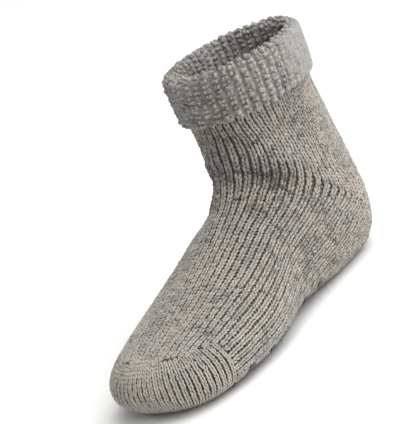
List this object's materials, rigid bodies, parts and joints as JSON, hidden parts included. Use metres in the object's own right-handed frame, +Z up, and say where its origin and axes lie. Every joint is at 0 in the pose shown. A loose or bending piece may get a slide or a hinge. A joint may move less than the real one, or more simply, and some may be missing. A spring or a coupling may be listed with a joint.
{
  "type": "slipper sock",
  "caption": "Grey ribbed wool slipper sock with a thick brushed cuff folded down outside and rubber grip dots and bars under the foot.",
  "frame": {"origin": "on the floor under the middle of the sock's bounding box", "axes": "+Z up, the toe points to -X and the heel to +X, +Y across the foot"},
  "size_m": [0.26, 0.1, 0.165],
  "materials": {
    "wool_knit": "heather grey ribbed wool",
    "brushed_cuff": "brushed heather grey wool",
    "grip_rubber": "dull dark slate print"
  },
  "bodies": {
    "root": {"knit_leg_and_foot": "wool_knit", "turned_cuff": "brushed_cuff", "grip_bar_01": "grip_rubber", "grip_bar_02": "grip_rubber", "grip_bar_03": "grip_rubber", "grip_bar_04": "grip_rubber", "grip_bar_05": "grip_rubber", "grip_bar_06": "grip_rubber", "grip_bar_07": "grip_rubber", "grip_bar_08": "grip_rubber", "grip_bar_09": "grip_rubber", "grip_bar_10": "grip_rubber", "grip_bar_11": "grip_rubber", "grip_bar_12": "grip_rubber", "grip_dot_01": "grip_rubber", "grip_dot_02": "grip_rubber", "grip_dot_03": "grip_rubber", "grip_dot_04": "grip_rubber", "grip_dot_05": "grip_rubber", "grip_dot_06": "grip_rubber", "grip_dot_07": "grip_rubber", "grip_dot_08": "grip_rubber", "grip_dot_09": "grip_rubber", "grip_dot_10": "grip_rubber", "grip_dot_11": "grip_rubber", "grip_dot_12": "grip_rubber", "grip_dot_13": "grip_rubber", "grip_dot_14": "grip_rubber", "grip_dot_15": "grip_rubber", "grip_dot_16": "grip_rubber", "grip_dot_17": "grip_rubber", "grip_dot_18": "grip_rubber", "grip_dot_19": "grip_rubber", "grip_dot_20": "grip_rubber", "grip_dot_21": "grip_rubber", "grip_dot_22": "grip_rubber", "grip_dot_23": "grip_rubber", "grip_dot_24": "grip_rubber", "grip_dot_25": "grip_rubber", "grip_dot_26": "grip_rubber", "grip_dot_27": "grip_rubber", "grip_dot_28": "grip_rubber", "grip_dot_29": "grip_rubber", "grip_dot_30": "grip_rubber", "grip_dot_31": "grip_rubber", "grip_dot_32": "grip_rubber"}
  },
  "joints": []
}
